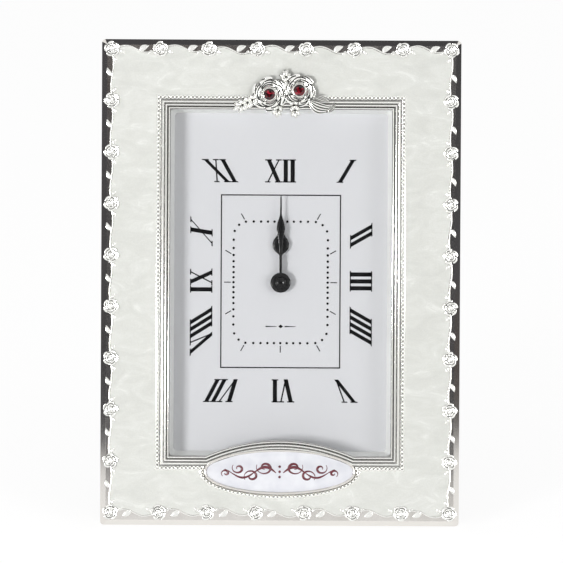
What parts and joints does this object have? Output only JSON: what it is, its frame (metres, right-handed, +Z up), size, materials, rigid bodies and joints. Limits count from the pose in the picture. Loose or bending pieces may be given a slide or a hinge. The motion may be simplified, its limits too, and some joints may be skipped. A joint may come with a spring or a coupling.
{
  "type": "photo frame clock",
  "caption": "Standing picture-frame clock: plated frame with enamel field, rose border, glazed dial, two hands and a folding strut.",
  "frame": {"origin": "centre of the bounding box's base, on the surface that the clock stands on", "axes": "+Z up, +Y to the back, +X to the right seen from the front"},
  "size_m": [0.15, 0.061, 0.2017],
  "materials": {
    "plated_casting": "polished",
    "pearl_enamel": "pearl gloss",
    "red_crystal": "faceted",
    "plaque_enamel": "gloss",
    "clear_glass": "polished",
    "white_card": "matt",
    "spacer_plastic": "matt",
    "black_board": "velvet",
    "nickel_steel": "satin",
    "black_plastic": "matt",
    "grey_foam": "matt",
    "white_gear_plastic": "satin",
    "circuit_laminate": "gloss",
    "copper_wire": "lacquered",
    "motor_iron": "satin",
    "black_hand_metal": "gloss",
    "cell_wrap": "gloss wrap",
    "knob_plastic": "matt",
    "brass_arbor": "turned"
  },
  "bodies": {
    "frame": {"frame_shell": "plated_casting", "enamel_panel": "pearl_enamel", "bead_rail": "plated_casting", "border_roses": "plated_casting", "border_vine": "plated_casting", "border_leaves": "plated_casting", "rose_spray": "plated_casting", "crystal_left": "red_crystal", "crystal_right": "red_crystal", "oval_plaque": "plaque_enamel", "window_glass": "clear_glass", "spacer_frame": "spacer_plastic", "dial_plate": "white_card", "back_board": "black_board", "strut_hinge_plate": "nickel_steel", "strut_hinge_pin": "nickel_steel", "hinge_rivets": "nickel_steel", "button_rivets": "nickel_steel", "movement_case": "black_plastic", "movement_cover": "black_plastic", "foam_pad": "grey_foam", "train_bridge": "white_gear_plastic", "circuit_board": "circuit_laminate", "timing_chip": "black_plastic", "quartz_can": "nickel_steel", "coil_winding": "copper_wire", "coil_bobbin": "white_gear_plastic", "coil_core": "motor_iron", "stator_plate": "motor_iron", "contact_plus": "nickel_steel", "contact_minus": "nickel_steel"},
    "minute": {"minute_arbor": "brass_arbor", "minute_hand": "black_hand_metal", "hand_cap": "black_hand_metal"},
    "hour": {"hour_wheel": "white_gear_plastic", "hour_hand": "black_hand_metal"},
    "transfer": {"transfer_wheel": "white_gear_plastic"},
    "setting": {"setting_knob": "knob_plastic"},
    "centre": {"centre_wheel": "white_gear_plastic"},
    "third": {"third_wheel": "white_gear_plastic"},
    "seconds": {"seconds_wheel": "white_gear_plastic"},
    "fifth": {"fifth_wheel": "white_gear_plastic"},
    "rotor_body": {"rotor": "white_gear_plastic"},
    "strut": {"strut_panel": "black_board", "strut_hinge_leaf": "nickel_steel"},
    "battery_body": {"battery": "cell_wrap"},
    "button_1": {"turn_button_1": "nickel_steel"},
    "button_2": {"turn_button_2": "nickel_steel"},
    "button_3": {"turn_button_3": "nickel_steel"},
    "button_4": {"turn_button_4": "nickel_steel"}
  },
  "joints": [
    {"name": "minute_turn", "type": "hinge", "parent": "frame", "child": "minute", "pos_m": [0, 0.00202, 0.1005], "axis": [0, 0.9781, -0.2079], "continuous": true},
    {"name": "hour_turn", "type": "hinge", "parent": "frame", "child": "hour", "pos_m": [0, 0.00202, 0.1005], "axis": [0, 0.9781, -0.2079], "continuous": true},
    {"name": "transfer_turn", "type": "hinge", "parent": "frame", "child": "transfer", "pos_m": [0, 0.00327, 0.10637], "axis": [0, 0.9781, -0.2079], "continuous": true},
    {"name": "setting_turn", "type": "hinge", "parent": "frame", "child": "setting", "pos_m": [0, 0.00451, 0.11224], "axis": [0, 0.9781, -0.2079], "continuous": true},
    {"name": "seconds_turn", "type": "hinge", "parent": "frame", "child": "seconds", "pos_m": [0, 0.00202, 0.1005], "axis": [0, 0.9781, -0.2079], "continuous": true},
    {"name": "centre_turn", "type": "hinge", "parent": "frame", "child": "centre", "pos_m": [0, 0.00202, 0.1005], "axis": [0, 0.9781, -0.2079], "continuous": true},
    {"name": "third_turn", "type": "hinge", "parent": "frame", "child": "third", "pos_m": [-0.0085, 0.00202, 0.1005], "axis": [0, 0.9781, -0.2079], "continuous": true},
    {"name": "fifth_turn", "type": "hinge", "parent": "frame", "child": "fifth", "pos_m": [0.007, 0.00202, 0.1005], "axis": [0, 0.9781, -0.2079], "continuous": true},
    {"name": "rotor_turn", "type": "hinge", "parent": "frame", "child": "rotor_body", "pos_m": [0.0116, 0.00282, 0.10427], "axis": [0, 0.9781, -0.2079], "continuous": true},
    {"name": "strut_fold", "type": "hinge", "parent": "frame", "child": "strut", "pos_m": [0, -0.00023, 0.06059], "axis": [1, 0, 0], "range_deg": [-21, 0]},
    {"name": "button_1_turn", "type": "hinge", "parent": "frame", "child": "button_1", "pos_m": [-0.066, 0.01889, 0.15825], "axis": [0, 0.9781, -0.2079], "range_deg": [0, 90]},
    {"name": "button_2_turn", "type": "hinge", "parent": "frame", "child": "button_2", "pos_m": [-0.066, -0.00605, 0.04087], "axis": [0, 0.9781, -0.2079], "range_deg": [0, 90]},
    {"name": "button_3_turn", "type": "hinge", "parent": "frame", "child": "button_3", "pos_m": [0.066, 0.01889, 0.15825], "axis": [0, 0.9781, -0.2079], "range_deg": [0, 90]},
    {"name": "button_4_turn", "type": "hinge", "parent": "frame", "child": "button_4", "pos_m": [0.066, -0.00605, 0.04087], "axis": [0, 0.9781, -0.2079], "range_deg": [0, 90]},
    {"name": "battery_lift", "type": "slide", "parent": "frame", "child": "battery_body", "axis": [0, 0.9781, -0.2079], "range_m": [0, 0.03]}
  ],
  "couplings": [
    {"joint": "transfer_turn", "follows": "minute_turn", "ratio": -0.33333},
    {"joint": "hour_turn", "follows": "minute_turn", "ratio": 0.083333},
    {"joint": "setting_turn", "follows": "minute_turn", "ratio": 1},
    {"joint": "fifth_turn", "follows": "rotor_turn", "ratio": -0.2},
    {"joint": "seconds_turn", "follows": "rotor_turn", "ratio": 0.033333},
    {"joint": "third_turn", "follows": "rotor_turn", "ratio": -0.0044444},
    {"joint": "centre_turn", "follows": "rotor_turn", "ratio": 0.00055556}
  ]
}
